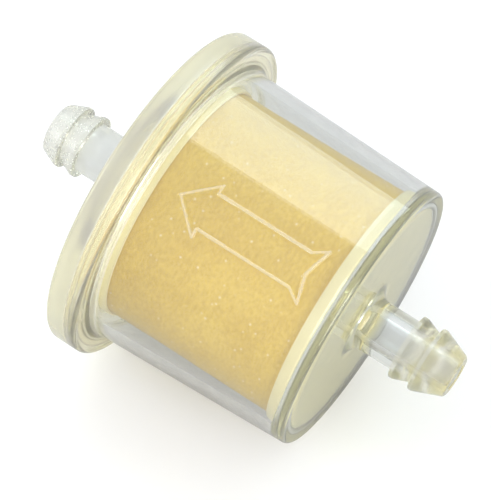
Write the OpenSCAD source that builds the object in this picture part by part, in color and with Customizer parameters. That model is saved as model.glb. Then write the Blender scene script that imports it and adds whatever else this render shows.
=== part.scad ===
// In-line fuel filter for a 1/4 inch hose: a clear moulded bowl and cap, each with a hose barb,
// welded together at a flange round a paper element. Sizes are in millimetres.
// The flow axis is X. Fuel enters the barb at +X, passes inwards through the paper and leaves
// through the cap's barb at -X. The origin is on the axis, halfway along the filter.

/* [Bowl] */
// Outside diameter of the bowl at its mouth
bowl_mouth_d = 35.8; // [30:0.1:60]
// Draft of the bowl's side, which narrows towards the closed end, in degrees
bowl_draft = 2.4; // [0.5:0.1:3]
// Length of the bowl, from the flange's front face to the end face
bowl_len = 26; // [18:0.5:60]
// Thickness of the bowl's side wall
bowl_wall = 1.3; // [0.8:0.1:2]
// Thickness of the bowl's closed end
end_wall = 1.2; // [0.8:0.1:3]
// Fillet between the bowl's side and its flange
bowl_root_r = 0.9; // [0.3:0.1:1.2]
// Rounding of the corner at the bowl's closed end
bowl_corner_r = 0.6; // [0.2:0.1:1]

/* [Flange] */
// Width of the flange outside the bowl's mouth
flange_w = 2.95; // [2.6:0.05:6]
// Thickness of the bowl's half of the flange
bowl_flange_t = 1.5; // [1.2:0.1:3]
// Thickness of the cap's half of the flange
cap_flange_t = 2.6; // [2.1:0.1:4]
// Rounding of the flange's two outer edges
flange_round = 0.6; // [0.2:0.1:1]

/* [Cap] */
// Depth of the recess inside the cap, from the seam to the web
recess_t = 0.9; // [0.4:0.1:1.4]
// Length of the spigot that centres the cap in the bowl's mouth
spigot_len = 1.2; // [0.6:0.1:1.4]
// Wall thickness of the spigot
spigot_t = 1; // [0.6:0.1:1.4]
// Clearance between the spigot and the bowl's mouth
spigot_gap = 0.1; // [0.05:0.05:0.3]
// Diameter of the boss inside the cap, which locates the seal and the element
boss_d = 8.4; // [6:0.1:12]
// Distance by which the boss stops short of the outlet disc's inner face
boss_setback = 0.1; // [0:0.05:0.3]

/* [Hose barbs] */
// Diameter of the barb's neck, the size of the hose's bore
neck_d = 6.4; // [5:0.1:8]
// Height of the barb's ridges above its neck
ridge_h = 0.8; // [0.4:0.1:1.2]
// Length of the cylindrical land on each ridge
ridge_land = 0.5; // [0.3:0.1:0.8]
// Diameter of the fuel passage
port_d = 3.1; // [1.5:0.1:3.8]
// Fillet at the foot of each barb
barb_root_r = 1.4; // [0.5:0.1:2]
// Neck of the inlet barb, from the bowl's end face to the first ridge
inlet_neck_len = 5.6; // [3:0.1:15]
// Distance between the inlet barb's ridges
inlet_ridge_pitch = 2.6; // [1.5:0.1:4]
// Nose of the inlet barb, from its last ridge to its tip
inlet_nose_len = 4; // [2:0.1:6]
// Fall of the inlet barb's nose, from its ridge to its tip
inlet_nose_fall = 1.4; // [0.4:0.1:1.6]
// Neck of the outlet barb, from the cap's back face to the first ridge
outlet_neck_len = 8.6; // [3:0.1:15]
// Distance between the outlet barb's ridges
outlet_ridge_pitch = 2.3; // [1.5:0.1:4]
// Nose of the outlet barb, from its last ridge to its tip
outlet_nose_len = 2.6; // [2:0.1:6]
// Fall of the outlet barb's nose, from its ridge to its tip
outlet_nose_fall = 0.9; // [0.4:0.1:1.6]
// Rounding of the barbs' tips
tip_round = 0.5; // [0.2:0.1:0.6]

/* [Weld] */
// Distance of the weld ring's centreline from the flange's edge
weld_inset = 1.55; // [1.3:0.05:1.8]
// Width of the weld ring
weld_w = 1; // [0.4:0.1:1.4]
// Height of the weld ring, half in each flange
weld_h = 0.8; // [0.4:0.1:1.4]

/* [Element] */
// Side clearance between the end discs and the narrowest part of the bowl round them
side_gap = 0.3; // [0.2:0.05:1]
// Side clearance between the outlet disc and the cap's spigot round it
spigot_side_gap = 0.2; // [0.1:0.05:0.5]
// Clearance between the element's closed end and the end of the bowl
end_gap = 0.3; // [0.2:0.05:2]
// Thickness of the end discs
disc_t = 0.8; // [0.5:0.1:1.5]
// Thickness of the lip round each end disc
lip_t = 0.35; // [0.2:0.05:0.6]
// Height of the lip above the disc's inner face
lip_len = 0.8; // [0.5:0.1:1.5]
// Rounding of the end discs' outer edges
disc_round = 0.4; // [0.1:0.1:0.5]
// Clearance of the outlet disc round the cap's boss
boss_gap = 0.1; // [0.05:0.05:0.3]
// Thickness of the filter paper
paper_t = 0.7; // [0.4:0.1:1]
// Gap between the paper and the support core
core_gap = 0.5; // [0.2:0.1:1]
// Thickness of the support core
core_t = 0.9; // [0.6:0.1:1.5]
// Height of the potting compound in each end disc
potting_h = 0.7; // [0.4:0.1:1]
// Potting compound left under the ends of the paper and the core
potting_floor = 0.2; // [0.1:0.05:0.3]
// Width of potting compound inside the core
potting_inner_w = 1.2; // [0.5:0.1:2]
// Width of the bonded strip over the paper's seam
seam_w = 4; // [2:0.5:6]
// Thickness of the bonded strip
seam_t = 0.15; // [0.05:0.05:0.25]

/* [Support core] */
// Rows of windows along the core
window_rows = 5; // [3:1:8]
// Windows round the core
window_count = 8; // [6:1:12]
// Width of the ribs between rows of windows
ring_rib_w = 1.2; // [0.8:0.1:2]
// Width of the posts between the windows of a row
post_w = 3.8; // [1:0.1:4.5]

/* [Seal] */
// Width of the seal ring, from its hole to its outer edge
seal_w = 2.9; // [1:0.1:4]
// Height of the seal ring between the cap's web and the element
seal_h = 1.5; // [0.8:0.1:2.5]

/* [Flow arrow] */
// Turn of the arrow round the axis, from the top towards -Y
arrow_turn = 29.4; // [0:0.1:359]
// Distance from the flange's front face to the arrow's point
arrow_start = 4.2; // [3:0.1:6]
// Distance from the arrow's tail corners to the bowl's end face
arrow_end_gap = 4.6; // [2:0.1:6]
// Length of the arrow's head
arrow_head_len = 3.5; // [2:0.1:5]
// Width of the arrow's head
arrow_head_w = 6.6; // [5:0.1:9]
// Width of the arrow's shaft
arrow_shaft_w = 4.5; // [3:0.1:4.8]
// Distance over which the shaft flares out to the tail corners
arrow_flare = 1.6; // [0.8:0.1:2.5]
// Depth of the notch in the arrow's tail
arrow_notch = 0.9; // [0.4:0.1:1.5]
// Width of the raised line that draws the arrow
arrow_line_w = 0.4; // [0.25:0.05:0.6]
// Height of the raised line above the bowl
arrow_line_h = 0.25; // [0.1:0.05:0.4]

/* [Hidden] */
$fn = 96;
arc_steps = 6;
eps = 0.01;
clear_cut = 1;

// Radii
mouth_r = bowl_mouth_d / 2;
bowl_end_r = mouth_r - bowl_len * tan(bowl_draft);
flange_r = mouth_r + flange_w;
mouth_bore_r = mouth_r - bowl_wall;
neck_r = neck_d / 2;
ridge_r = neck_r + ridge_h;
port_r = port_d / 2;
boss_r = boss_d / 2;
boss_hole_r = boss_r + boss_gap;
seal_r = boss_hole_r + seal_w;
spigot_r = mouth_bore_r - spigot_gap;
spigot_bore_r = spigot_r - spigot_t;
weld_r = flange_r - weld_inset;

// Places along the axis
inlet_len = inlet_neck_len + inlet_ridge_pitch + inlet_nose_len;
outlet_len = outlet_neck_len + outlet_ridge_pitch + outlet_nose_len;
overall_len = outlet_len + cap_flange_t + bowl_flange_t + bowl_len + inlet_len;
x_outlet_tip = -overall_len / 2;
x_cap_back = x_outlet_tip + outlet_len;
x_seam = x_cap_back + cap_flange_t;
x_front = x_seam + bowl_flange_t;
x_end = x_front + bowl_len;
x_web = x_seam - recess_t;
x_inner_end = x_end - end_wall;

// The element, from the outlet disc's outer face to the inlet disc's
x_element_0 = x_web + seal_h;
x_element_1 = x_inner_end - end_gap;
x_floor_0 = x_element_0 + disc_t;
x_floor_1 = x_element_1 - disc_t;
x_boss_end = x_floor_0 - boss_setback;
disc_r = min(bowl_r(x_element_1) - bowl_wall - side_gap, spigot_bore_r - spigot_side_gap);
paper_r = disc_r - lip_t;
paper_inner_r = paper_r - paper_t;
core_r = paper_inner_r - core_gap;
core_inner_r = core_r - core_t;
potting_r = core_inner_r - potting_inner_w;
x_paper_0 = x_floor_0 + potting_floor;
x_paper_1 = x_floor_1 - potting_floor;
paper_len = x_paper_1 - x_paper_0;
window_w = 2 * core_inner_r * sin(180 / window_count) - post_w;
window_floor = core_inner_r * cos(180 / window_count);

// The arrow
arrow_len = bowl_len - arrow_start - arrow_end_gap;

// Outside radius of the bowl at a place along the axis
function bowl_r(x) = mouth_r - (x - x_front) * tan(bowl_draft);

// Points on an arc, from one angle to another
function arc(c, r, from, to) =
    [for (i = [0 : arc_steps]) let (a = from + (to - from) * i / arc_steps)
        c + r * [cos(a), sin(a)]];

// Radius at which a tip's rounding is centred, tangent to the end face and to the nose's cone
function tip_arc_r(tip_r, slope) = tip_r - tip_round * tan((90 - slope) / 2);

// Outline of a barb as [radius, distance from its face], from the foot's fillet to the passage
function barb(neck, pitch, nose, fall) =
    let (first = neck, last = neck + pitch, end = last + nose,
         slope = atan(fall / (nose - ridge_land)))
    concat(
        arc([neck_r + barb_root_r, barb_root_r], barb_root_r, 270, 180),
        [[neck_r, first], [ridge_r, first], [ridge_r, first + ridge_land],
         [neck_r, last], [ridge_r, last], [ridge_r, last + ridge_land]],
        arc([tip_arc_r(ridge_r - fall, slope), end - tip_round], tip_round, slope, 90),
        [[port_r, end]]);

// Turns an outline of [radius, place along X] round the X axis
module spun() {
    rotate([0, 90, 0]) rotate_extrude() children();
}

// A plain tube along X
module tube(r, inner_r, x0, x1) {
    spun() translate([inner_r, x0]) square([r - inner_r, x1 - x0]);
}

module weld_section() {
    translate([weld_r - weld_w / 2, x_seam - weld_h / 2]) square([weld_w, weld_h]);
}

module bowl_section() {
    difference() {
        polygon(concat(
            [[mouth_bore_r, x_seam], [flange_r, x_seam]],
            arc([flange_r - flange_round, x_front - flange_round], flange_round, 0, 90),
            arc([mouth_r + bowl_root_r, x_front + bowl_root_r], bowl_root_r, 270, 180),
            arc([bowl_end_r - bowl_corner_r, x_end - bowl_corner_r], bowl_corner_r, 0, 90),
            [for (p = barb(inlet_neck_len, inlet_ridge_pitch, inlet_nose_len, inlet_nose_fall))
                [p[0], x_end + p[1]]],
            [[port_r, x_inner_end], [bowl_r(x_inner_end) - bowl_wall, x_inner_end],
             [mouth_bore_r, x_front]]));
        weld_section();
    }
}

// The outline of the flow arrow on a flat sheet, with its point at the origin and its tail at +X
module arrow_line() {
    head = arrow_head_w / 2;
    shaft = arrow_shaft_w / 2;
    side = [[0, 0], [arrow_head_len, head], [arrow_head_len, shaft],
            [arrow_len - arrow_flare, shaft], [arrow_len, head], [arrow_len - arrow_notch, 0]];
    for (m = [0, 1], i = [0 : len(side) - 2])
        mirror([0, m])
            stroke(side[i], side[i + 1]);
}

// A straight line with square ends that overlap the next line's
module stroke(a, b) {
    run = b - a;
    translate(a)
        rotate(atan2(run[1], run[0]))
            translate([-arrow_line_w / 2, -arrow_line_w / 2])
                square([norm(run) + arrow_line_w, arrow_line_w]);
}

// The arrow's line stands on the bowl's cone and sinks a little into its wall
module flow_arrow() {
    sink = bowl_wall / 2;
    x0 = x_front + bowl_root_r;
    x1 = x_end - bowl_corner_r;
    rotate([arrow_turn, 0, 0])
        intersection() {
            translate([x_front + arrow_start, 0, 0])
                linear_extrude(mouth_r + arrow_line_h + clear_cut)
                    arrow_line();
            spun() polygon([
                [bowl_r(x0) - sink, x0], [bowl_r(x0) + arrow_line_h, x0],
                [bowl_r(x1) + arrow_line_h, x1], [bowl_r(x1) - sink, x1]]);
        }
}

module bowl() {
    color([0.93, 0.89, 0.72, 0.5]) union() {
        spun() bowl_section();
        flow_arrow();
    }
}

module cap_section() {
    difference() {
        polygon(concat(
            [for (p = barb(outlet_neck_len, outlet_ridge_pitch, outlet_nose_len, outlet_nose_fall))
                [p[0], x_cap_back - p[1]]],
            [[port_r, x_boss_end], [boss_r, x_boss_end], [boss_r, x_web],
             [spigot_bore_r, x_web], [spigot_bore_r, x_seam + spigot_len],
             [spigot_r, x_seam + spigot_len], [spigot_r, x_seam], [flange_r, x_seam]],
            arc([flange_r - flange_round, x_cap_back + flange_round], flange_round, 0, -90)));
        weld_section();
    }
}

module cap() {
    color([0.92, 0.89, 0.75, 0.5]) spun() cap_section();
}

module weld_ring() {
    color([0.9, 0.82, 0.55]) spun() weld_section();
}

module seal_ring() {
    color([0.88, 0.83, 0.66]) tube(seal_r, boss_hole_r, x_web, x_element_0);
}

module filter_paper() {
    color([0.86, 0.68, 0.36]) tube(paper_r, paper_inner_r, x_paper_0, x_paper_1);
}

// The strip lies on the paper between the two lips, opposite the arrow
module paper_seam() {
    x0 = x_floor_0 + lip_len;
    x1 = x_floor_1 - lip_len;
    color([0.82, 0.62, 0.3]) rotate([arrow_turn, 0, 0])
        intersection() {
            tube(paper_r + seam_t, paper_r, x0, x1);
            translate([x0 - eps, -seam_w / 2, -paper_r - clear_cut])
                cube([x1 - x0 + 2 * eps, seam_w, paper_r]);
        }
}

// The windows' cuts stop at the chord between two posts, so that neighbouring cuts stay apart
module support_core() {
    row_pitch = paper_len / window_rows;
    color([0.9, 0.9, 0.86]) difference() {
        tube(core_r, core_inner_r, x_paper_0, x_paper_1);
        for (row = [0 : window_rows - 1], i = [0 : window_count - 1])
            rotate([i * 360 / window_count, 0, 0])
                translate([x_paper_0 + row * row_pitch + ring_rib_w / 2, -window_w / 2, window_floor])
                    cube([row_pitch - ring_rib_w, window_w, core_r + clear_cut - window_floor]);
    }
}

// Section of an end disc's outer part, from its outer face at 0 to the edge of its lip
module disc_section(inner_r) {
    polygon(concat(
        [[inner_r, disc_t], [inner_r, 0]],
        arc([disc_r - disc_round, disc_round], disc_round, -90, 0),
        [[disc_r, disc_t + lip_len], [disc_r - lip_t, disc_t + lip_len], [disc_r - lip_t, disc_t]]));
}

module inlet_end_disc() {
    color([0.95, 0.91, 0.75]) spun() translate([0, x_element_1]) mirror([0, 1]) disc_section(0);
}

module outlet_end_disc() {
    color([0.95, 0.91, 0.75]) spun() translate([0, x_element_0]) disc_section(boss_hole_r);
}

// Potting compound fills the disc round the ends of the paper and the core
module potting(x0, x1) {
    color([0.78, 0.58, 0.25]) difference() {
        tube(paper_r, potting_r, x0, x1);
        tube(paper_r + clear_cut, paper_inner_r, x_paper_0, x_paper_1);
        tube(core_r, core_inner_r, x_paper_0, x_paper_1);
    }
}

module inlet_potting() {
    potting(x_floor_1 - potting_h, x_floor_1);
}

module outlet_potting() {
    potting(x_floor_0, x_floor_0 + potting_h);
}

bowl();
cap();
weld_ring();
seal_ring();
filter_paper();
paper_seam();
support_core();
inlet_end_disc();
outlet_end_disc();
inlet_potting();
outlet_potting();
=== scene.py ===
# %% [markdown]
# # A clear in-line fuel filter, dressed round its CAD model
# The filter is a small clear cup and lid, welded together at a flange, with a tube of resin-treated
# paper inside and a hose barb at each end. The CAD model says where everything is and how big it is.
# Here each visible piece gets a finer mesh and a finish of its own. A frame is loaded first and is
# never changed, so that every new piece can be placed from it with no fitting.

import math

import bmesh
import bpy
from mathutils import Matrix, Vector
from mathutils.geometry import intersect_point_line


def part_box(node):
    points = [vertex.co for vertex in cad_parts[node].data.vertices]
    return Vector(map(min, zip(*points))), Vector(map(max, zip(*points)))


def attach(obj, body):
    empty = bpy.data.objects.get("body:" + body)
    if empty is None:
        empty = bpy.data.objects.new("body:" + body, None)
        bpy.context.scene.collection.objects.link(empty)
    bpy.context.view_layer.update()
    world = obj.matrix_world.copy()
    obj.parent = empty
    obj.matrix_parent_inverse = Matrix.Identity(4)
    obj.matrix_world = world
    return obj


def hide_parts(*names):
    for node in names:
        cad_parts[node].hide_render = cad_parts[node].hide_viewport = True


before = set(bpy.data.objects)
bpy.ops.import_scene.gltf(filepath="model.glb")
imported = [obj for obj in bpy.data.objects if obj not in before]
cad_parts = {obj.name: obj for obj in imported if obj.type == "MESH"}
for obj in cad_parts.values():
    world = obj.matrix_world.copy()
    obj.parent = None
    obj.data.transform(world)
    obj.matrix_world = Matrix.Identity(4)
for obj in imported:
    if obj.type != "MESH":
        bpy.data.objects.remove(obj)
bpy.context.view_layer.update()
print("CAD nodes:", ", ".join(sorted(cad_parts)))

# %% [markdown]
# ## Places along the filter
# The filter's axis is X. The scene is in metres, but small things are easier to read in millimetres,
# so outlines are written in millimetres and scaled once, when a mesh is finished. A turned piece is
# known by where it starts, where it ends and its radius, and the frame gives all three.

# %% Read the places from the frame
MM = 0.001


def extent(node):
    """Where a turned node starts and ends along X, and its radius, in millimetres."""
    low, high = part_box(node)
    radius = max(-low.y, -low.z, high.y, high.z)
    return low.x / MM, high.x / MM, radius / MM


seam, inlet_tip, flange_r = extent("bowl")
outlet_tip, boss_end, _ = extent("cap")
paper_start, paper_end, paper_r = extent("filter_paper")
outlet_disc_face, outlet_lip_edge, disc_r = extent("outlet_end_disc")
inlet_lip_edge, inlet_disc_face, _ = extent("inlet_end_disc")
web_face, _, seal_r = extent("seal_ring")
weld_start, weld_end, weld_r = extent("weld_ring")
print(f"seam at {seam:.1f} mm, tips at {outlet_tip:.1f} and {inlet_tip:.1f} mm, flange {flange_r:.2f} mm")

# %% [markdown]
# ## Sizes of the mouldings
# The frame's boxes don't hold walls and barbs, so these are named here. They are the CAD model's own
# sizes, in millimetres. Each barb is described once, from the face that it stands on.

# %% Name the walls and the barbs
FLANGE_FRONT = seam + 1.5
FLANGE_BACK = seam - 2.6
END_FACE = FLANGE_FRONT + 26.0
INNER_END = END_FACE - 1.2
WALL = 1.3
MOUTH_R = 17.9
DRAFT = math.radians(2.4)
PORT_R = 1.55
NECK_R = 3.2
RIDGE_R = 4.0
RIDGE_LAND = 0.5
BOSS_R = 4.2
WELD_W = 1.0
INLET_BARB = {"face": END_FACE, "tip": inlet_tip, "neck": 5.6, "pitch": 2.6, "tip_r": 2.6}
OUTLET_BARB = {"face": FLANGE_BACK, "tip": outlet_tip, "neck": 8.6, "pitch": 2.3, "tip_r": 3.1}


def bowl_r(x):
    """Outside radius of the bowl, which narrows a little towards its closed end."""
    return MOUTH_R - (x - FLANGE_FRONT) * math.tan(DRAFT)


END_R = bowl_r(END_FACE)
print(f"bowl from {FLANGE_FRONT:.1f} to {END_FACE:.1f} mm, {bowl_r(0):.2f} mm in radius at the middle")

# %% [markdown]
# ## Turning a piece from its outline
# Nearly every piece here is round about one axis. On the real filter that comes from the mould. In
# Blender it could be a stack of cylinders, but then every fillet would need a tool of its own. One
# outline turned about the axis gives the whole piece at once, with its fillets. The outline starts
# as a flat face. Each corner is rounded by a vertex bevel, and long edges are divided, so that
# smooth shading doesn't bend the flat stretches and clear plastic refracts cleanly.

# %% Make an outline with rounded corners
TURN_STEPS = 192
MESH_STEP = 0.7
CORNER_SEGMENTS = 6


def corner_setback(before, corner, after, rounding):
    """How far along its edges a corner's rounding starts, for a given radius."""
    angle = (before - corner).angle(after - corner)
    return rounding / math.tan(angle / 2)


def outline(corners, step=MESH_STEP):
    """A closed loop of edges in the XZ plane, from (place along X, radius, rounding) corners."""
    bm = bmesh.new()
    points = [bm.verts.new((x, 0.0, r)) for x, r, _ in corners]
    bm.faces.new(points)
    places = [point.co.copy() for point in points]
    for i, (_, _, rounding) in enumerate(corners):
        if rounding:
            after = places[(i + 1) % len(places)]
            setback = corner_setback(places[i - 1], places[i], after, rounding)
            bmesh.ops.bevel(bm, geom=[points[i]], offset=setback, affect="VERTICES",
                            segments=CORNER_SEGMENTS, profile=0.5, material=-1)
    bmesh.ops.delete(bm, geom=bm.faces[:], context="FACES_ONLY")
    for edge in bm.edges[:]:
        cuts = int(edge.calc_length() / step)
        if cuts:
            bmesh.ops.subdivide_edges(bm, edges=[edge], cuts=cuts)
    return bm


# %% [markdown]
# ## From an outline to a finished piece
# A full spin closes on itself when its ends are merged. Points on the axis are merged too, which
# closes the pole. The normals are made to point outwards once the shell is closed. Edges that turn
# sharply are marked, and the rest is shaded smooth. Every piece then rides on the filter's one body.

# %% Turn an outline and hand the piece to the frame
SHARP = math.radians(32)
MERGE = 0.0005


def turn(bm, steps=TURN_STEPS):
    """Spins an outline right round the X axis and closes it."""
    bmesh.ops.spin(bm, geom=bm.verts[:] + bm.edges[:], cent=(0, 0, 0), axis=(1, 0, 0),
                   angle=math.tau, steps=steps, use_merge=True)
    bmesh.ops.remove_doubles(bm, verts=bm.verts[:], dist=MERGE)
    bmesh.ops.recalc_face_normals(bm, faces=bm.faces[:])
    return bm


def finish_piece(bm, name, material, slot, *replaced):
    """Makes an object of a mesh in millimetres, with its finish, body and the nodes it stands for. The slot
    argument is not used.
    """
    for face in bm.faces:
        face.smooth = True
    for edge in bm.edges:
        edge.smooth = not edge.is_manifold or edge.calc_face_angle() < SHARP
    bmesh.ops.scale(bm, vec=(MM, MM, MM), verts=bm.verts[:])
    mesh = bpy.data.meshes.new(name)
    bm.to_mesh(mesh)
    bm.free()
    mesh.materials.append(material)
    piece = bpy.data.objects.new(name, mesh)
    bpy.context.scene.collection.objects.link(piece)
    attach(piece, "root")
    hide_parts(*replaced)
    print(f"{name}: {len(mesh.polygons)} faces, standing for {', '.join(replaced)}")
    return piece


# %% [markdown]
# ## Shader maths as expressions
# A finish is a small tree of nodes. Written node by node it is hard to read, so one class wraps a
# node's output and lets ordinary arithmetic add the Math nodes. Any other node is added by one
# method, which sets the node's own options first and then its sockets.

# %% Wrap a shader's values
class Value:
    """One output of a node, on which arithmetic can be done."""

    def __init__(self, finish, socket):
        self.finish = finish
        self.socket = socket

    def calculate(self, operation, other):
        return self.finish.node("ShaderNodeMath", {"operation": operation}, {0: self, 1: other})

    def __add__(self, other):
        return self.calculate("ADD", other)

    def __mul__(self, other):
        return self.calculate("MULTIPLY", other)

    __radd__ = __add__
    __rmul__ = __mul__


class Finish:
    """A material that is built up node by node."""

    def __init__(self, name):
        self.material = bpy.data.materials.new(name)
        self.material.use_nodes = True
        self.tree = self.material.node_tree
        self.tree.nodes.clear()
        self.out = self.tree.nodes.new("ShaderNodeOutputMaterial")

    def node(self, kind, settings=None, sockets=None, output=0):
        """Adds a node of a type, sets its options, then gives its sockets values or links."""
        made = self.tree.nodes.new(kind)
        for option, value in (settings or {}).items():
            if option == "stops":
                self.set_stops(made.color_ramp, value)
            else:
                setattr(made, option, value)
        for name, value in (sockets or {}).items():
            if isinstance(value, Value):
                self.tree.links.new(value.socket, made.inputs[name])
            else:
                made.inputs[name].default_value = value
        return Value(self, made.outputs[output])

    def set_stops(self, ramp, stops):
        """Places a colour ramp's stops."""
        while len(ramp.elements) < len(stops):
            ramp.elements.new(1.0)
        for element, (position, colour) in zip(ramp.elements, stops):
            element.position = position
            element.color = colour

    def surface(self, shader):
        self.tree.links.new(shader.socket, self.out.inputs["Surface"])

    def volume(self, shader):
        self.tree.links.new(shader.socket, self.out.inputs["Volume"])


# %% [markdown]
# ## Patterns that several finishes share
# The pieces are modelled at their own place, so Object coordinates are metres in the filter's frame
# and a pattern's scale is a number of features per metre. Noise gives grain, mottling and the slow
# ripple that a mould leaves. A ramp turns a value along the axis into a mask.

# %% Define noise, masks and bump
def place(finish):
    """The point on the piece, in metres."""
    return finish.node("ShaderNodeTexCoord", output="Object")


def noise(finish, size_mm, detail=3.0, stretch=(1, 1, 1)):
    """Smooth noise whose features are about a given size."""
    at = finish.node("ShaderNodeMapping", sockets={"Vector": place(finish), "Scale": stretch})
    return finish.node("ShaderNodeTexNoise",
                       sockets={"Vector": at, "Scale": 1 / (size_mm * MM), "Detail": detail})


def along(finish):
    """The place along the filter's axis, in metres."""
    return finish.node("ShaderNodeSeparateXYZ", sockets={"Vector": place(finish)}, output="X")


def from_axis(finish):
    """The distance from the filter's axis, in metres."""
    flat = finish.node("ShaderNodeMapping", sockets={"Vector": place(finish), "Scale": (0, 1, 1)})
    return finish.node("ShaderNodeVectorMath", {"operation": "LENGTH"}, {0: flat}, output="Value")


def ramp_mask(finish, value, start, end):
    """0 below start and 1 above end, or the other way round when end is the lower."""
    return finish.node("ShaderNodeMapRange", {"interpolation_type": "SMOOTHSTEP"},
                       {"Value": value, "From Min": start, "From Max": end})


def bump(finish, height, depth_mm):
    """A bumped normal, from a height between 0 and 1 and the depth that it stands for."""
    return finish.node("ShaderNodeBump", sockets={"Height": height, "Distance": depth_mm * MM})


def blend(finish, factor, first, second):
    """Mixes two colours, each an RGBA value or a link."""
    return finish.node("ShaderNodeMix", {"data_type": "RGBA"},
                       {"Factor": factor, "A": first, "B": second}, output="Result")


# %% [markdown]
# ## A tint along the filter, with painted shade at the closed end
# A moulding isn't the same all over. Thin stretches such as the barbs' necks look clear, thick ones
# such as the flange and the ridges look yellower, and the closed end face is tinted more olive and
# much darker. The olive is the plastic's tint, and the darkening is painted shade on that face. The
# finish could have a separate material for each stretch, but a colour ramp along the axis does it in
# one, with soft changes between the stretches.

# %% Set the tint along the axis
WALL_TINT = (0.90, 0.91, 0.925, 1.0)
RIM_TINT = (0.995, 0.985, 0.92, 1.0)
LIP_TINT = (0.97, 0.97, 0.90, 1.0)
# The closed end face's tint is darkened as painted shade, and its olive hue is the plastic's tint.
END_SHADE_TINT = (0.68, 0.70, 0.63, 1.0)
NECK_TINT = (0.92, 0.935, 0.96, 1.0)
INLET_TINT = (0.98, 0.97, 0.93, 1.0)
OUTLET_TINT = (0.96, 0.965, 0.95, 1.0)
OUTLET_RIDGE = FLANGE_BACK - OUTLET_BARB["neck"]
INLET_RIDGE = END_FACE + INLET_BARB["neck"]
TINTS = [
    (OUTLET_RIDGE, OUTLET_TINT),
    (OUTLET_RIDGE + 0.2, NECK_TINT),
    (FLANGE_BACK - 1.0, NECK_TINT),
    (FLANGE_BACK, RIM_TINT),
    (FLANGE_FRONT, RIM_TINT),
    (FLANGE_FRONT + 1.5, WALL_TINT),
    (END_FACE - 1.6, WALL_TINT),
    (END_FACE - 0.9, LIP_TINT),
    (END_FACE - 0.2, LIP_TINT),
    (END_FACE - 0.05, END_SHADE_TINT),
    (END_FACE + 0.2, END_SHADE_TINT),
    (END_FACE + 0.5, RIM_TINT),
    (END_FACE + 1.6, NECK_TINT),
    (INLET_RIDGE - 0.2, NECK_TINT),
    (INLET_RIDGE, INLET_TINT)]


def tint_along(finish):
    """The plastic's tint at a point, from the stops above, with painted shade on the closed end face."""
    length = inlet_tip - outlet_tip
    share = finish.node("ShaderNodeMapRange", {}, {
        "Value": along(finish), "From Min": outlet_tip * MM, "From Max": inlet_tip * MM})
    stops = [((x - outlet_tip) / length, tint) for x, tint in TINTS]
    return finish.node("ShaderNodeValToRGB", {"stops": stops}, {"Fac": share})


print(f"{len(TINTS)} stops of tint from {outlet_tip:.1f} to {inlet_tip:.1f} mm")

# %% [markdown]
# ## Light through the wall
# The paper inside is lit through the clear wall. Tracing bent rays from the paper to a lamp takes too
# many samples, and would leave the inside dark and grainy. So a ray that asks whether a lamp can be
# seen passes straight through the wall with a tint, and every other ray meets the real plastic.

# %% Let a lamp's light straight through
BOWL_LAMP_TINT = (0.95, 0.94, 0.90, 1.0)
CAP_LAMP_TINT = (0.80, 0.78, 0.72, 1.0)


def let_light_through(finish, body, tint):
    """Shows the body to every ray but a lamp's, which passes straight on with a tint."""
    passing = finish.node("ShaderNodeBsdfTransparent", {}, {"Color": tint})
    shadow = finish.node("ShaderNodeLightPath", output="Is Shadow Ray")
    finish.surface(finish.node("ShaderNodeMixShader", {}, {0: shadow, 1: body, 2: passing}))


# %% [markdown]
# ## Clear amber plastic
# The bowl and cap are moulded in a clear, slightly amber plastic. It is glass-like: a real wall with
# an inner and an outer surface bends what is behind it, and light that travels further through it
# comes out yellower. So the amber comes from absorption along the path. The cap is milkier than the
# bowl, so it lets less light through unscattered. The flange's rim and the ridges of the barbs are
# frosted, where the mould was left unpolished, and the rest has the slow ripple of a polished mould.

# %% Define the clear plastic
PLASTIC_IOR = 1.52
AMBER = (0.975, 0.965, 0.79, 1.0)
AMBER_DENSITY = 100.0
WELD_AMBER = (0.95, 0.85, 0.50, 1.0)
WELD_DENSITY = 150.0
POLISH = 0.006
POLISH_VARIES = 0.01
FLANGE_FROST = 0.02
RIM_FROST = 0.18
FROST_EVEN = 0.6
FROST_VARIES = 0.8
FROST_RELIEF = 8.0
RELIEF_MM = 0.006
RIPPLE_MM = 4.0
SMEAR_MM = 1.2
FROST_GRAIN_MM = 0.3
RIDGE_FADE = 0.4
RIM_FADE_START = 0.4
RIM_FADE_END = 0.1
FLANGE_FADE_START = 1.5
FLANGE_FADE_END = -0.5


def frosted_parts(finish, ridge_frost):
    """How frosted the plastic is at a point: its rim and ridges are, and the rest is not."""
    x = along(finish)
    rim_start = (flange_r - RIM_FADE_START) * MM
    rim_end = (flange_r - RIM_FADE_END) * MM
    rim = ramp_mask(finish, from_axis(finish), rim_start, rim_end)
    inlet_side = ramp_mask(finish, x, (INLET_RIDGE - RIDGE_FADE) * MM, INLET_RIDGE * MM)
    outlet_side = ramp_mask(finish, x, (OUTLET_RIDGE + RIDGE_FADE) * MM, OUTLET_RIDGE * MM)
    return RIM_FROST * rim + ridge_frost * (inlet_side + outlet_side)


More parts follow.
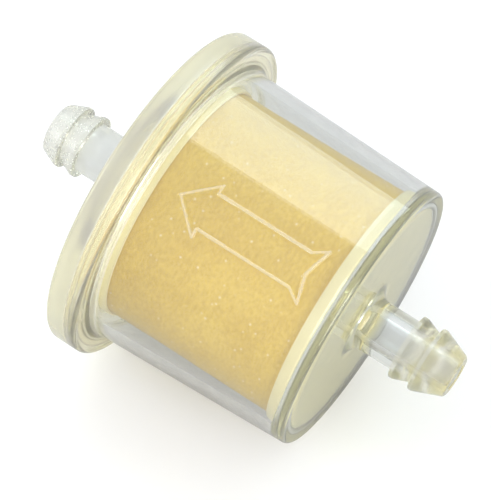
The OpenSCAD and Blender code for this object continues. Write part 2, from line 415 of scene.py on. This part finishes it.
def clear_plastic(name, absorb, density, ridge_frost, clearness, lamp_tint):
    """Clear moulded plastic, with frosted ridges, an absorbing inside and a share that is milky."""
    finish = Finish(name)
    ripple = noise(finish, RIPPLE_MM, 1.0)
    grain = noise(finish, FROST_GRAIN_MM)
    fade_start = (FLANGE_FRONT + FLANGE_FADE_START) * MM
    fade_end = (FLANGE_FRONT + FLANGE_FADE_END) * MM
    flange = ramp_mask(finish, along(finish), fade_start, fade_end)
    gloss = POLISH + POLISH_VARIES * noise(finish, SMEAR_MM) + FLANGE_FROST * flange
    frosted = frosted_parts(finish, ridge_frost)
    body = finish.node("ShaderNodeBsdfPrincipled", {}, {
        "Base Color": tint_along(finish),
        "Roughness": gloss + frosted * (FROST_EVEN + FROST_VARIES * grain),
        "IOR": PLASTIC_IOR,
        "Transmission Weight": clearness,
        "Normal": bump(finish, ripple + FROST_RELIEF * frosted * grain, RELIEF_MM)})
    let_light_through(finish, body, lamp_tint)
    finish.volume(finish.node("ShaderNodeVolumeAbsorption", {}, {"Color": absorb, "Density": density}))
    return finish.material


bowl_plastic = clear_plastic("clear_bowl", AMBER, AMBER_DENSITY, ridge_frost=0.20, clearness=0.94,
                             lamp_tint=BOWL_LAMP_TINT)
cap_plastic = clear_plastic("clear_cap", AMBER, AMBER_DENSITY, ridge_frost=0.22, clearness=0.66,
                            lamp_tint=CAP_LAMP_TINT)
weld_amber = clear_plastic("weld_plastic", WELD_AMBER, WELD_DENSITY, ridge_frost=0.0, clearness=0.97,
                           lamp_tint=BOWL_LAMP_TINT)
print("plastics:", bowl_plastic.name, cap_plastic.name, weld_amber.name)

# %% [markdown]
# ## The bowl
# The bowl is one moulding: its half of the flange, a tapered side wall, a closed end and the inlet
# barb with the fuel passage through it. A closed outline that never meets the axis, turned right
# round, gives the outside, the inside and the passage as one closed shell, which clear plastic needs.

# %% Outline the bowl
SEAM_GAP = 0.015
EDGE = 0.08
OUTER_ROUND = 0.6
BOWL_FILLET = 0.9
FOOT_FILLET = 1.4
TIP_ROUND = 0.5
PORT_ROUND = 0.2


def barb(face, tip, neck, pitch, tip_r):
    """Corners of a barb, from its foot to the mouth of the passage."""
    out = 1 if tip > face else -1
    first = face + out * neck
    last = first + out * pitch
    land = out * RIDGE_LAND
    return [
        (face, NECK_R, FOOT_FILLET),
        (first, NECK_R, EDGE), (first, RIDGE_R, EDGE), (first + land, RIDGE_R, EDGE),
        (last, NECK_R, EDGE), (last, RIDGE_R, EDGE), (last + land, RIDGE_R, EDGE),
        (tip, tip_r, TIP_ROUND), (tip, PORT_R, PORT_ROUND)]


def bowl_corners():
    """Corners of the bowl, from the seam round the outside to the tip and back along the inside."""
    mouth_bore = MOUTH_R - WALL
    groove_out = weld_r
    groove_in = weld_r - WELD_W
    join = seam + SEAM_GAP
    return [
        (join, mouth_bore, EDGE), (join, groove_in, 0), (weld_end, groove_in, EDGE),
        (weld_end, groove_out, EDGE), (join, groove_out, 0), (join, flange_r, EDGE),
        (FLANGE_FRONT, flange_r, OUTER_ROUND), (FLANGE_FRONT, MOUTH_R, BOWL_FILLET),
        (END_FACE, END_R, OUTER_ROUND), *barb(**INLET_BARB),
        (INNER_END, PORT_R, PORT_ROUND), (INNER_END, bowl_r(INNER_END) - WALL, BOWL_FILLET),
        (FLANGE_FRONT, mouth_bore, 0)]


bowl_mesh = turn(outline(bowl_corners()))
print(f"bowl outline turned into {len(bowl_mesh.faces)} faces")

# %% [markdown]
# ## The raised flow arrow
# The mould draws an arrow on the bowl as a fine raised line, pointing the way the fuel goes. It is
# part of the wall, so a separate strip of plastic would show an edge inside the clear wall. Instead
# the wall's own faces near the line are divided finely, and their points are lifted by a smooth
# profile that depends only on how far each one is from the line.

# %% Describe the arrow's line
ARROW_TURN = math.radians(29.4)
ARROW_START = FLANGE_FRONT + 4.2
ARROW_LENGTH = 17.2
HEAD_LENGTH = 3.5
HEAD_HALF = 3.3
SHAFT_HALF = 2.25
FLARE = 1.6
NOTCH = 0.9
LINE_HALF = 0.17
LINE_HEIGHT = 0.28
LINE_FALL = 0.10


def arrow_side(side):
    """Corners of one side of the arrow, with its point at the origin."""
    return [
        Vector((0, 0)),
        Vector((HEAD_LENGTH, side * HEAD_HALF)),
        Vector((HEAD_LENGTH, side * SHAFT_HALF)),
        Vector((ARROW_LENGTH - FLARE, side * SHAFT_HALF)),
        Vector((ARROW_LENGTH, side * HEAD_HALF)),
        Vector((ARROW_LENGTH - NOTCH, 0))]


ARROW_LINES = [pair for side in (1, -1) for pair in zip(arrow_side(side), arrow_side(side)[1:])]


def distance_to_line(point, start, end):
    """How far a flat point is from a straight piece of the line."""
    nearest, share = intersect_point_line(point, start, end)
    if share < 0:
        nearest = start
    if share > 1:
        nearest = end
    return (nearest - point).length


def arrow_distance(co):
    """How far a point of the wall is from the arrow's line, seen from straight above the arrow."""
    across = co.y * math.cos(ARROW_TURN) + co.z * math.sin(ARROW_TURN)
    above = co.z * math.cos(ARROW_TURN) - co.y * math.sin(ARROW_TURN)
    flat = Vector((co.x - ARROW_START, across))
    if above < 0:
        return abs(flat.y) + MOUTH_R
    return min(distance_to_line(flat, start, end) for start, end in ARROW_LINES)


print(f"the arrow has {len(ARROW_LINES)} straight pieces of line")

# %% Raise the arrow on the wall
ARROW_CUTS = 7
ARROW_REACH = 0.9
WALL_MARGIN = 2.0
WALL_TOLERANCE = 0.05


def on_wall(co):
    """Whether a point is on the bowl's outer wall, between its two fillets."""
    if not FLANGE_FRONT + WALL_MARGIN < co.x < END_FACE - WALL_MARGIN:
        return False
    return abs(math.hypot(co.y, co.z) - bowl_r(co.x)) < WALL_TOLERANCE


def line_height(co):
    """How high the line stands at a point of the wall: full in its middle, smoothly down to nothing."""
    outside = arrow_distance(co) - (LINE_HALF - LINE_FALL / 2)
    share = max(0.0, min(1.0, 1 - outside / LINE_FALL))
    return LINE_HEIGHT * share * share * (3 - 2 * share)


def raise_arrow(bm):
    """Divides the wall along the arrow's line, lifts it there and gives it the line's own finish."""
    near = [face for face in bm.faces
            if on_wall(face.verts[0].co) and arrow_distance(face.calc_center_median()) < ARROW_REACH]
    edges = list(dict.fromkeys(edge for face in near for edge in face.edges))
    bmesh.ops.subdivide_edges(bm, edges=edges, cuts=ARROW_CUTS, use_grid_fill=True)
    lifted = set()
    for vert in bm.verts:
        height = line_height(vert.co) if on_wall(vert.co) else 0.0
        if height:
            outward = Vector((0, vert.co.y, vert.co.z)).normalized()
            flat = outward * (bowl_r(vert.co.x) + height)
            vert.co = Vector((vert.co.x, flat.y, flat.z))
            lifted.add(vert)
    for face in bm.faces:
        if all(vert in lifted for vert in face.verts):
            face.material_index = 1
    return len(lifted)


print(f"{raise_arrow(bowl_mesh)} points lifted for the arrow")

# %% [markdown]
# ## A duller line
# The groove that moulds the arrow isn't polished like the rest of the mould, so the line comes out a
# little dull and catches the light. It gets a paler, partly scattering finish on its own faces. The
# faces stay part of the bowl's one closed shell, so this finish has no absorbing inside of its own.

# %% Finish the line and the bowl
LINE_TINT = (0.97, 0.95, 0.86, 1.0)
LINE_ROUGHNESS = 0.12
LINE_VARIES = 0.1
LINE_CLEARNESS = 0.72

line_finish = Finish("arrow_line")
line_body = line_finish.node("ShaderNodeBsdfPrincipled", {}, {
    "Base Color": LINE_TINT,
    "Roughness": LINE_ROUGHNESS + LINE_VARIES * noise(line_finish, FROST_GRAIN_MM),
    "IOR": PLASTIC_IOR,
    "Transmission Weight": LINE_CLEARNESS})
let_light_through(line_finish, line_body, BOWL_LAMP_TINT)
bowl_piece = finish_piece(bowl_mesh, "clear_bowl", bowl_plastic, "clear_bowl", "bowl")
bowl_piece.data.materials.append(line_finish.material)

# %% [markdown]
# ## The cap
# The cap closes the bowl. It has the other half of the flange, a web with the outlet barb on its
# outside, and inside a spigot that centres it in the bowl and a boss that holds the seal and the
# element. It is turned in the same way, and stops just short of the bowl at the seam, because two
# clear surfaces in exactly the same place would flicker.

# %% Outline and turn the cap
SPIGOT_T = 1.0
SPIGOT_GAP = 0.1
SPIGOT_END = seam + 1.2
SPIGOT_ROUND = 0.15
WEB_FILLET = 0.4
BOSS_FILLET = 0.3
BOSS_ROUND = 0.2
BOSS_PORT_ROUND = 0.1


def cap_corners():
    """Corners of the cap, from the tip of its barb round the outside to the end of the boss."""
    spigot_r = MOUTH_R - WALL - SPIGOT_GAP
    groove_out = weld_r
    groove_in = weld_r - WELD_W
    join = seam - SEAM_GAP
    return [
        *reversed(barb(**OUTLET_BARB)),
        (FLANGE_BACK, flange_r, OUTER_ROUND), (join, flange_r, EDGE), (join, groove_out, 0),
        (weld_start, groove_out, EDGE), (weld_start, groove_in, EDGE), (join, groove_in, 0),
        (join, spigot_r, 0), (SPIGOT_END, spigot_r, SPIGOT_ROUND),
        (SPIGOT_END, spigot_r - SPIGOT_T, SPIGOT_ROUND), (web_face, spigot_r - SPIGOT_T, WEB_FILLET),
        (web_face, BOSS_R, BOSS_FILLET), (boss_end, BOSS_R, BOSS_ROUND),
        (boss_end, PORT_R, BOSS_PORT_ROUND)]


finish_piece(turn(outline(cap_corners())), "clear_cap", cap_plastic, "clear_cap", "cap")

# %% [markdown]
# ## The weld
# When the two halves of the flange are welded, a ridge of plastic melts and fills the groove between
# them. It sets a little darker, which is the amber line that runs round inside the flange.

# %% Turn the weld ring
WELD_GAP = 0.02
WELD_ROUND = 0.15


def ring_corners(start, end, outer_r, inner_r, rounding):
    """A ring of rectangular section with rounded corners."""
    return [(start, inner_r, rounding), (start, outer_r, rounding),
            (end, outer_r, rounding), (end, inner_r, rounding)]


weld_corners = ring_corners(weld_start + WELD_GAP, weld_end - WELD_GAP, weld_r - WELD_GAP,
                            weld_r - WELD_W + WELD_GAP, WELD_ROUND)
finish_piece(turn(outline(weld_corners)), "weld_bead", weld_amber, "weld_plastic", "weld_ring")

# %% [markdown]
# ## Resin-treated filter paper
# The paper is stiffened with a resin that cures to a warm tan. The finish has a fine grain of fibres
# that run round the tube, soft mottling where the resin is thicker, a few pale specks, and a thin
# coat of cured resin that gives a faint gloss.

# %% Define the paper
PAPER_LIGHT = (0.82, 0.58, 0.055, 1.0)
PAPER_DEEP = (0.66, 0.42, 0.008, 1.0)
STRIP_LIGHT = (0.66, 0.42, 0.14, 1.0)
STRIP_DEEP = (0.55, 0.33, 0.09, 1.0)
SPECK_PALE = (0.95, 0.86, 0.60, 1.0)
SPECK_SHARE = 0.5
SPECK_SPACING_MM = 1.3
SPECK_EDGE = 0.16
SPECK_HEART = 0.07
MOTTLE_MM = 5.0
FIBRE_MM = 0.34
FIBRE_STRETCH = (1.0, 0.6, 0.6)
FIBRE_RELIEF_MM = 0.04
MOTTLE_SHARE = 0.6
GRAIN_SHARE = 1.1
TONE_DEEP = 0.5
TONE_LIGHT = 1.2
RESIN_IOR = 1.5
COAT_ROUGHNESS = 0.12


def pale_specks(finish):
    """Small round specks, 1 at the heart of each and 0 outside them."""
    nearest = finish.node("ShaderNodeTexVoronoi", {}, {
        "Vector": place(finish), "Scale": 1 / (SPECK_SPACING_MM * MM)})
    return ramp_mask(finish, nearest, SPECK_EDGE, SPECK_HEART)


def resin_paper(name, light, deep):
    """Filter paper with cured resin: a mottled colour, fibres and a faint gloss."""
    finish = Finish(name)
    mottle = noise(finish, MOTTLE_MM, 4.0)
    grain = noise(finish, FIBRE_MM, 2.0, FIBRE_STRETCH)
    tone = ramp_mask(finish, MOTTLE_SHARE * mottle + GRAIN_SHARE * grain, TONE_DEEP, TONE_LIGHT)
    paper = blend(finish, tone, deep, light)
    finish.surface(finish.node("ShaderNodeBsdfPrincipled", {}, {
        "Base Color": blend(finish, SPECK_SHARE * pale_specks(finish), paper, SPECK_PALE),
        "Roughness": 0.45 + 0.2 * grain,
        "IOR": RESIN_IOR,
        "Coat Weight": 0.15 + 0.2 * mottle,
        "Coat Roughness": COAT_ROUGHNESS,
        "Normal": bump(finish, grain + MOTTLE_SHARE * mottle, FIBRE_RELIEF_MM)}))
    return finish.material


paper_finish = resin_paper("resin_paper", PAPER_LIGHT, PAPER_DEEP)
strip_finish = resin_paper("seam_paper", STRIP_LIGHT, STRIP_DEEP)
print("papers:", paper_finish.name, strip_finish.name)

# %% [markdown]
# ## The paper tube
# A rolled paper tube is never a perfect cylinder. After it is turned, its points are moved in and
# out by a few slow waves, round the tube and along it. The waves only take away from the radius, so
# the tube stays inside its own space and clear of the bowl.

# %% Turn the tube and let it wander
PAPER_T = 0.7
PAPER_ROUND = 0.05
PAPER_WANDER = 0.12
SLOW_WAVE = 0.35
SLOW_TWIST = 0.21
FINE_WAVE = 0.15
FINE_TWIST = 0.37


def wander(x, angle):
    """A share from 0 to 1 that changes slowly, with two waves round the tube and five finer ones."""
    slow = math.sin(2 * angle + SLOW_TWIST * x)
    fine = math.sin(5 * angle - FINE_TWIST * x + 1.0)
    return 0.5 + SLOW_WAVE * slow + FINE_WAVE * fine


def wander_in(bm, depth):
    """Moves the points of a tube towards its axis by a slowly changing amount."""
    for vert in bm.verts:
        radius = math.hypot(vert.co.y, vert.co.z)
        angle = math.atan2(vert.co.z, vert.co.y)
        scale = 1 - depth * wander(vert.co.x, angle) / radius
        vert.co = Vector((vert.co.x, vert.co.y * scale, vert.co.z * scale))
    return bm


tube = turn(outline(ring_corners(paper_start, paper_end, paper_r, paper_r - PAPER_T, PAPER_ROUND)))
finish_piece(wander_in(tube, PAPER_WANDER), "paper_tube", paper_finish, "resin_paper", "filter_paper")

# %% [markdown]
# ## The strip over the paper's seam
# The paper is rolled from a sheet, and a bonded strip covers the joint, on the side away from the
# arrow. Its section is turned through a small angle instead of right round, and the two ends are
# closed with faces.

# %% Turn the seam strip
STRIP_T = 0.15
STRIP_ROUND = 0.06
STRIP_HALF_WIDTH = 2.0
STRIP_HALF_ANGLE = math.asin(STRIP_HALF_WIDTH / paper_r)
STRIP_STEPS = 24


def strip(corners, middle, half_angle):
    """A section turned through part of a circle about the X axis, with closed ends."""
    bm = outline(corners)
    bmesh.ops.rotate(bm, cent=(0, 0, 0), verts=bm.verts[:],
                     matrix=Matrix.Rotation(middle - half_angle, 3, "X"))
    first = bm.edges[:]
    made = bmesh.ops.spin(bm, geom=bm.verts[:] + first, cent=(0, 0, 0), axis=(1, 0, 0),
                          angle=2 * half_angle, steps=STRIP_STEPS)
    last = [part for part in made["geom_last"] if isinstance(part, bmesh.types.BMEdge)]
    for ends in (first, last):
        bmesh.ops.contextual_create(bm, geom=ends)
    bmesh.ops.recalc_face_normals(bm, faces=bm.faces[:])
    return bm


strip_corners = ring_corners(outlet_lip_edge, inlet_lip_edge, paper_r + STRIP_T,
                             paper_r - PAPER_WANDER, STRIP_ROUND)
seam_strip = strip(strip_corners, ARROW_TURN + math.pi, STRIP_HALF_ANGLE)
finish_piece(seam_strip, "seam_strip", strip_finish, "seam_paper", "paper_seam")

# %% [markdown]
# ## The end discs
# Each end of the paper sits in a shallow dish of cream plastic, filled with resin. The inlet disc is
# closed, so fuel has to go round the outside and in through the paper. The outlet disc fits over the
# boss of the cap. The plastic is smooth and soft-looking, with a faint orange-peel.

# %% Define the matt plastics, the rubber and the resin
CLOUD_MM = 4.0
CLOUD_RELIEF = 0.5
GLOSS_VARIES = 0.12
CREAM_LIGHT = (0.86, 0.79, 0.48, 1.0)
CREAM_DEEP = (0.82, 0.74, 0.42, 1.0)
NYLON_LIGHT = (0.86, 0.85, 0.78, 1.0)
NYLON_DEEP = (0.80, 0.78, 0.70, 1.0)
RUBBER_LIGHT = (0.74, 0.68, 0.48, 1.0)
RUBBER_DEEP = (0.68, 0.61, 0.41, 1.0)
RESIN_LIGHT = (0.62, 0.38, 0.11, 1.0)
RESIN_DEEP = (0.50, 0.28, 0.07, 1.0)


def moulded(name, light, deep, roughness, grain_mm, depth_mm, coat=0.0):
    """An opaque moulded finish: two close colours, fine grain and a little unevenness in gloss."""
    finish = Finish(name)
    cloud = noise(finish, CLOUD_MM, 3.0)
    grain = noise(finish, grain_mm, 2.0)
    finish.surface(finish.node("ShaderNodeBsdfPrincipled", {}, {
        "Base Color": blend(finish, cloud, deep, light),
        "Roughness": roughness + GLOSS_VARIES * grain,
        "Coat Weight": coat,
        "Normal": bump(finish, grain + CLOUD_RELIEF * cloud, depth_mm)}))
    return finish.material


disc_cream = moulded("disc_plastic", CREAM_LIGHT, CREAM_DEEP, roughness=0.35, grain_mm=0.5, depth_mm=0.02)
core_nylon = moulded("core_plastic", NYLON_LIGHT, NYLON_DEEP, roughness=0.40, grain_mm=0.6, depth_mm=0.02)
seal_rubber = moulded("seal_rubber", RUBBER_LIGHT, RUBBER_DEEP, roughness=0.55, grain_mm=0.3, depth_mm=0.02)
potting_amber = moulded("potting_resin", RESIN_LIGHT, RESIN_DEEP, roughness=0.18, grain_mm=1.0,
                        depth_mm=0.03, coat=0.5)
print("plain finishes:", disc_cream.name, core_nylon.name, seal_rubber.name, potting_amber.name)

# %% Turn the discs and the seal
DISC_T = 0.8
LIP_T = 0.35
BOSS_GAP = 0.1
DISC_ROUND = 0.4
HOLE_ROUND = 0.06
LIP_ROUND = 0.12
FLOOR_FILLET = 0.2
SEAL_ROUND = 0.3


def disc_corners(face, lip_edge, inner_r):
    """A dish from its outer face to the edge of its lip, with a hole unless inner_r is 0."""
    inward = 1 if lip_edge > face else -1
    floor = face + inward * DISC_T
    hole_round = HOLE_ROUND if inner_r else 0
    return [
        (floor, inner_r, hole_round), (face, inner_r, hole_round), (face, disc_r, DISC_ROUND),
        (lip_edge, disc_r, LIP_ROUND), (lip_edge, disc_r - LIP_T, LIP_ROUND),
        (floor, disc_r - LIP_T, FLOOR_FILLET)]


inlet_disc = turn(outline(disc_corners(inlet_disc_face, inlet_lip_edge, 0)))
finish_piece(inlet_disc, "inlet_disc", disc_cream, "disc_plastic", "inlet_end_disc")
hole_r = BOSS_R + BOSS_GAP
outlet_disc = turn(outline(disc_corners(outlet_disc_face, outlet_lip_edge, hole_r)))
finish_piece(outlet_disc, "outlet_disc", disc_cream, "disc_plastic", "outlet_end_disc")
seal = turn(outline(ring_corners(web_face, outlet_disc_face, seal_r, hole_r, SEAL_ROUND)))
finish_piece(seal, "rubber_seal", seal_rubber, "seal_rubber", "seal_ring")

# %% [markdown]
# ## Pieces that keep their CAD mesh
# The support core and the two rings of potting resin are inside the paper. Their shapes are right as
# they are, so they only get a finish, which is put into the material slots that they came with.

# %% Give the inner CAD nodes their finishes
inner_finishes = {
    "support_core": (core_nylon, "core_plastic"),
    "inlet_potting": (potting_amber, "potting_resin"),
    "outlet_potting": (potting_amber, "potting_resin")}
for node_name, (material, slot_name) in inner_finishes.items():
    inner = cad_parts[node_name]
    for material_slot in inner.material_slots:
        material_slot.material = material
    print(node_name, "finished as", material.name)

# %% [markdown]
# ## The table
# The filter lies on its flange and on the edge of its closed end. The flange is the wider, so the
# table is tilted in the filter's own frame, by the angle whose slope is the difference in radius
# over the distance between the two edges that touch it. A pure white table would make the clear
# wall vanish against it, so the table is white where it is looked at directly and pale grey to the
# rays that reach it through the plastic. It belongs to the staging and not to the filter.

# %% Lay the filter on a pale table
TABLE_HALF = 2.5
TABLE_GLOW = 0.12
TABLE_CLOUD_MM = 40.0
TABLE_ROUGHNESS = 0.7
TABLE_SPECULAR = 0.2
PURE_WHITE = (1.0, 1.0, 1.0, 1.0)
WHITE_LIGHT = (0.90, 0.90, 0.90, 1.0)
WHITE_DEEP = (0.88, 0.88, 0.88, 1.0)
GREY_LIGHT = (0.67, 0.67, 0.68, 1.0)
GREY_DEEP = (0.65, 0.65, 0.66, 1.0)
FLANGE_TOUCH = FLANGE_FRONT - OUTER_ROUND
END_TOUCH = END_FACE - OUTER_ROUND
table_tilt = math.atan((flange_r - END_R) / (END_TOUCH - FLANGE_TOUCH))
to_table = Matrix.Rotation(-table_tilt, 3, "Y")
table_up = to_table @ Vector((0, 0, 1))
touch = Vector((FLANGE_TOUCH, 0, -flange_r)) * MM
table_height = touch.dot(table_up)


def table_paint(finish, deep, light, glow):
    """A matt paint with the slightest clouding, and a glow that keeps its shadows soft."""
    return finish.node("ShaderNodeBsdfPrincipled", {}, {
        "Base Color": blend(finish, noise(finish, TABLE_CLOUD_MM, 2.0), deep, light),
        "Roughness": TABLE_ROUGHNESS,
        "Specular IOR Level": TABLE_SPECULAR,
        "Emission Color": PURE_WHITE,
        "Emission Strength": glow})


def pale_table():
    """White where it is looked at directly, and pale grey where it is seen through the plastic."""
    finish = Finish("table_white")
    direct = table_paint(finish, WHITE_DEEP, WHITE_LIGHT, TABLE_GLOW)
    through = table_paint(finish, GREY_DEEP, GREY_LIGHT, 0.0)
    looked_at = finish.node("ShaderNodeLightPath", output="Is Camera Ray")
    finish.surface(finish.node("ShaderNodeMixShader", {}, {0: looked_at, 1: through, 2: direct}))
    return finish.material


table_mesh = bmesh.new()
bmesh.ops.create_grid(table_mesh, x_segments=1, y_segments=1, size=TABLE_HALF)
bmesh.ops.transform(table_mesh, matrix=to_table.to_4x4(), verts=table_mesh.verts[:])
bmesh.ops.translate(table_mesh, vec=table_up * table_height, verts=table_mesh.verts[:])
table_data = bpy.data.meshes.new("table")
table_mesh.to_mesh(table_data)
table_mesh.free()
table_data.materials.append(pale_table())
table = bpy.data.objects.new("table", table_data)
bpy.context.scene.collection.objects.link(table)
print(f"table tilted {math.degrees(table_tilt):.2f} degrees in the filter's frame")

# %% [markdown]
# ## Light
# Clear plastic shows what is round it. A long narrow softbox hangs overhead and behind the filter.
# Its mirror image in the bowl's wall is the pale band over the paper, and the sharp lower edge of
# that band is the softbox's near edge. One softbox on each side, low and further forward, lights the
# paper without a mirror image of its own in the wall. The rest of the room is an even pale grey.

# %% Hang the softboxes and set the room
SOFTBOX_DISTANCE = 0.5
STRIP_NEAR = Vector((-0.135, 0.21, 0.95))
STRIP_FAR = Vector((-0.135, 0.91, 0.34))
STRIP_WIDTH = 0.13
STRIP_RADIANCE = 2.5
STRIP_COLOUR = (0.80, 0.95, 1.0)
LEFT_LOW = Vector((-0.80, -0.62, 0.06))
LEFT_HIGH = Vector((-0.72, -0.35, 0.60))
LEFT_RADIANCE = 6.2
RIGHT_LOW = Vector((0.88, -0.60, 0.08))
RIGHT_HIGH = Vector((0.78, -0.10, 0.65))
RIGHT_RADIANCE = 5.8
SIDE_WIDTH = 0.15
ROOM_RADIANCE = 0.88
ROOM_COLOUR = (0.97, 0.98, 1.0, 1.0)


def softbox(name, near, far, width, radiance):
    """An area light of a given width that fills the angle between two directions from the filter."""
    middle = (near.normalized() + far.normalized()).normalized()
    length = 2 * SOFTBOX_DISTANCE * math.tan(near.angle(far) / 2)
    light = bpy.data.lights.new(name, "AREA")
    light.shape = "RECTANGLE"
    light.size = width
    light.size_y = length
    light.energy = radiance * math.pi * length * width
    lamp = bpy.data.objects.new(name, light)
    bpy.context.scene.collection.objects.link(lamp)
    lamp.location = middle * SOFTBOX_DISTANCE
    across = (far.normalized() - near.normalized()).normalized()
    side = across.cross(middle)
    lamp.rotation_euler = Matrix((side, across, middle)).transposed().to_euler()
    lamp.visible_camera = False
    print(f"{name}: {width:.2f} by {length:.2f} m")
    return lamp


strip_box = softbox("strip_softbox", STRIP_NEAR, STRIP_FAR, STRIP_WIDTH, STRIP_RADIANCE)
strip_box.data.color = STRIP_COLOUR
softbox("left_softbox", LEFT_LOW, LEFT_HIGH, SIDE_WIDTH, LEFT_RADIANCE)
softbox("right_softbox", RIGHT_LOW, RIGHT_HIGH, SIDE_WIDTH, RIGHT_RADIANCE)
world = bpy.data.worlds.new("room")
world.use_nodes = True
room = world.node_tree.nodes["Background"]
room.inputs["Color"].default_value = ROOM_COLOUR
room.inputs["Strength"].default_value = ROOM_RADIANCE
bpy.context.scene.world = world

# %% [markdown]
# ## Camera
# The camera looks down at the filter from the inlet side. Its direction is given the way a person
# would set it up: an angle round the table, a height above the table, and a distance. It is upright
# over the table, which is tilted in the filter's frame, so its turn is worked out in the table's own
# frame and then carried over. A long lens keeps the perspective gentle.

# %% Set the camera
CAMERA_AROUND = math.radians(33.3)
CAMERA_HEIGHT = math.radians(51.4)
CAMERA_DISTANCE = 0.269
CAMERA_AIM = Vector((-1.1, 0.7, -2.0)) * MM
CAMERA_LENS = 165.7
SENSOR_WIDTH = 36.0

camera_data = bpy.data.cameras.new("camera")
camera_data.lens = CAMERA_LENS
camera_data.sensor_width = SENSOR_WIDTH
camera = bpy.data.objects.new("camera", camera_data)
bpy.context.scene.collection.objects.link(camera)
level = math.cos(CAMERA_HEIGHT)
back = Vector((math.sin(CAMERA_AROUND) * level, -math.cos(CAMERA_AROUND) * level, math.sin(CAMERA_HEIGHT)))
upright = (-back).to_track_quat("-Z", "Y").to_matrix()
camera.location = CAMERA_AIM + to_table @ back * CAMERA_DISTANCE
camera.rotation_euler = (to_table @ upright).to_euler()
bpy.context.scene.camera = camera
print("camera at", [round(c / MM, 1) for c in camera.location], "mm")

# %% [markdown]
# ## Colour and light paths
# The standard view keeps whites white and the plastic's pale colours as they are. A ray in the wall
# or the flange crosses many clear surfaces and is reflected inside them many times before it leaves.
# Reflections have a limit of their own, and paths that reach it end as black lines, so every kind of
# bounce is allowed more often than usual.

# %% Set the view and the bounces
BOUNCES = 24

scene = bpy.context.scene
scene.view_settings.view_transform = "Standard"
scene.cycles.max_bounces = BOUNCES
scene.cycles.glossy_bounces = BOUNCES
scene.cycles.transmission_bounces = BOUNCES
scene.cycles.transparent_max_bounces = BOUNCES
print(f"view: {scene.view_settings.view_transform}, {BOUNCES} bounces of each kind")
